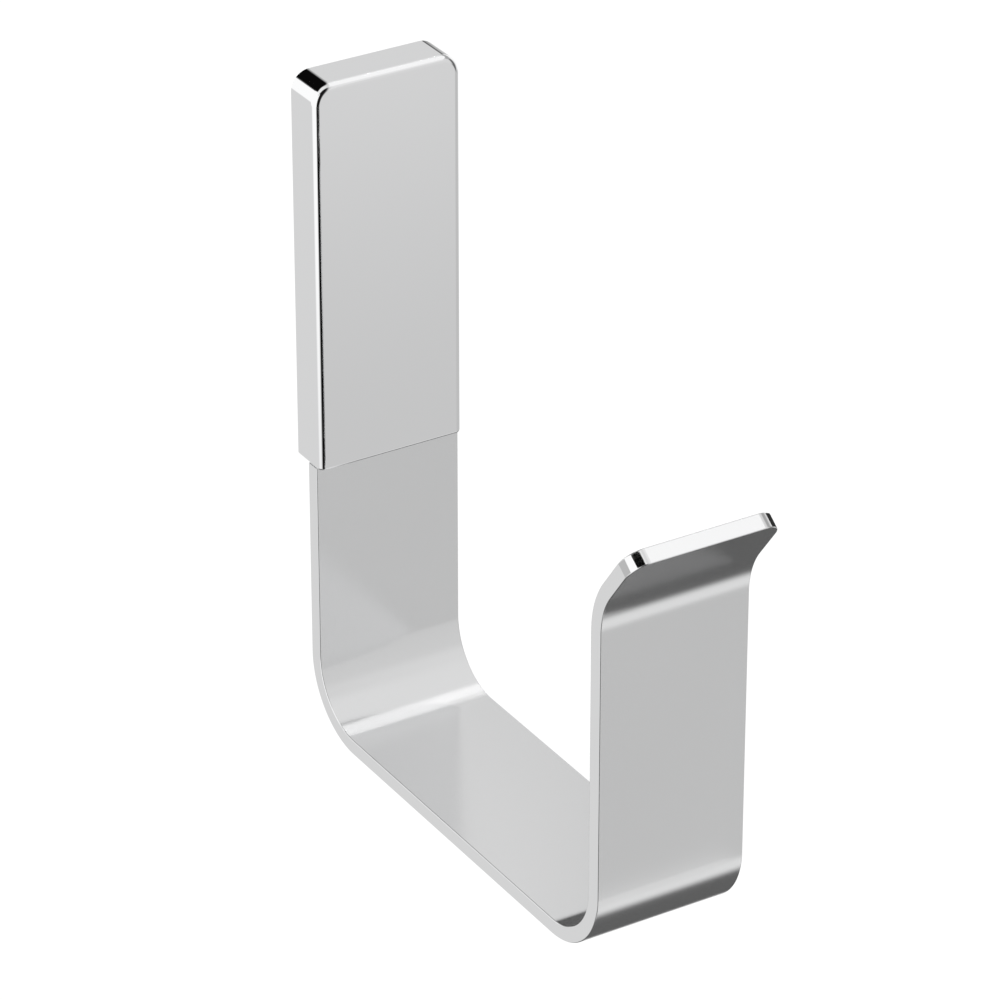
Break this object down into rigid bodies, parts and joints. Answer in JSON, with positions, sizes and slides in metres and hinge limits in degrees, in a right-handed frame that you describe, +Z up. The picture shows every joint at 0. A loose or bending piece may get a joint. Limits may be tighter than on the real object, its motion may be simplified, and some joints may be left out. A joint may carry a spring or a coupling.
{
  "type": "towel holder",
  "caption": "Wall-hung open towel holder: a bent satin metal strap with a short outward lip, held in a rounded polished cover that hooks on a hidden wall bracket.",
  "frame": {"origin": "on the wall's surface, midway between the two wall screws", "axes": "+X to the right seen from the room, +Y into the wall, +Z up"},
  "size_m": [0.04, 0.1509, 0.175],
  "materials": {
    "satin_steel": "satin",
    "chrome": "polished",
    "bracket_metal": "as extruded",
    "screw_steel": "plain"
  },
  "bodies": {
    "root": {"hook_strap": "satin_steel", "cover": "chrome", "wall_bracket": "bracket_metal", "clamp_screw_left": "screw_steel", "clamp_screw_right": "screw_steel", "grub_screw": "screw_steel"}
  },
  "joints": []
}
